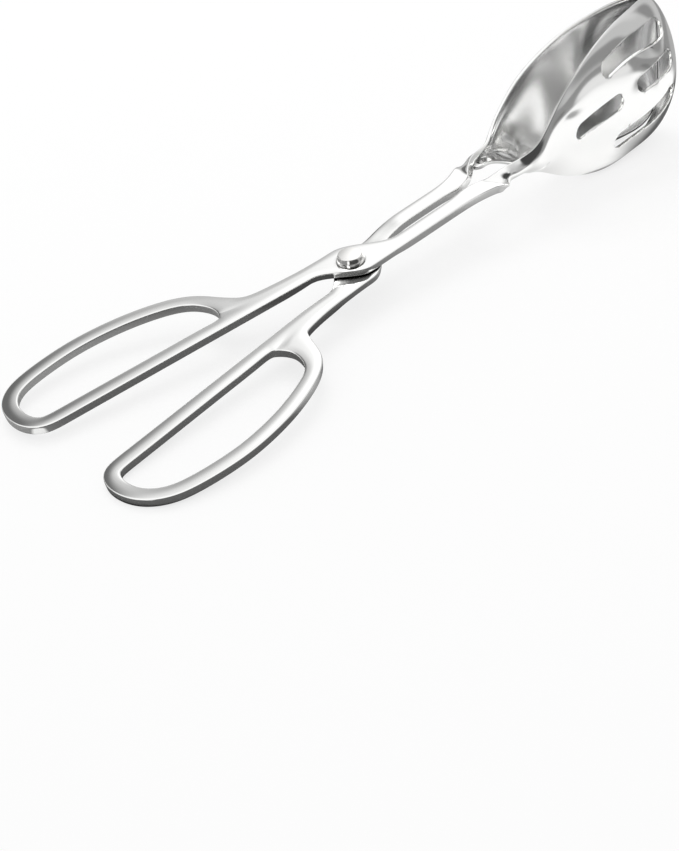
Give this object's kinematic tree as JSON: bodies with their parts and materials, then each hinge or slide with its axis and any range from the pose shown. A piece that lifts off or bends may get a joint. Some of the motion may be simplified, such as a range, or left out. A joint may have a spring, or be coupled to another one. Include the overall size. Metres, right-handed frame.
{
  "type": "scissor serving tongs",
  "caption": "Scissor-action serving tongs: two crossed polished steel levers on one rivet, with ring handles, ending in a slotted bowl and a plain bowl.",
  "frame": {"origin": "on the rivet's axis, at the flat underside of its tail", "axes": "+X along the middle plane towards the bowls, +Z along the rivet's axis towards its head, +Y towards the side on which the slotted lever's ring handle lies"},
  "size_m": [0.2646, 0.0808, 0.0516],
  "materials": {
    "polished_steel": "mirror polished",
    "rivet_steel": "mirror polished"
  },
  "bodies": {
    "plain_half": {"plain_lever": "polished_steel", "pivot_rivet": "rivet_steel"},
    "slotted_half": {"slotted_lever": "polished_steel"}
  },
  "joints": [
    {"name": "rivet_pivot", "type": "hinge", "parent": "plain_half", "child": "slotted_half", "pos_m": [0, 0, 0.00525], "axis": [0, 0, -1], "range_deg": [0, 45]}
  ]
}
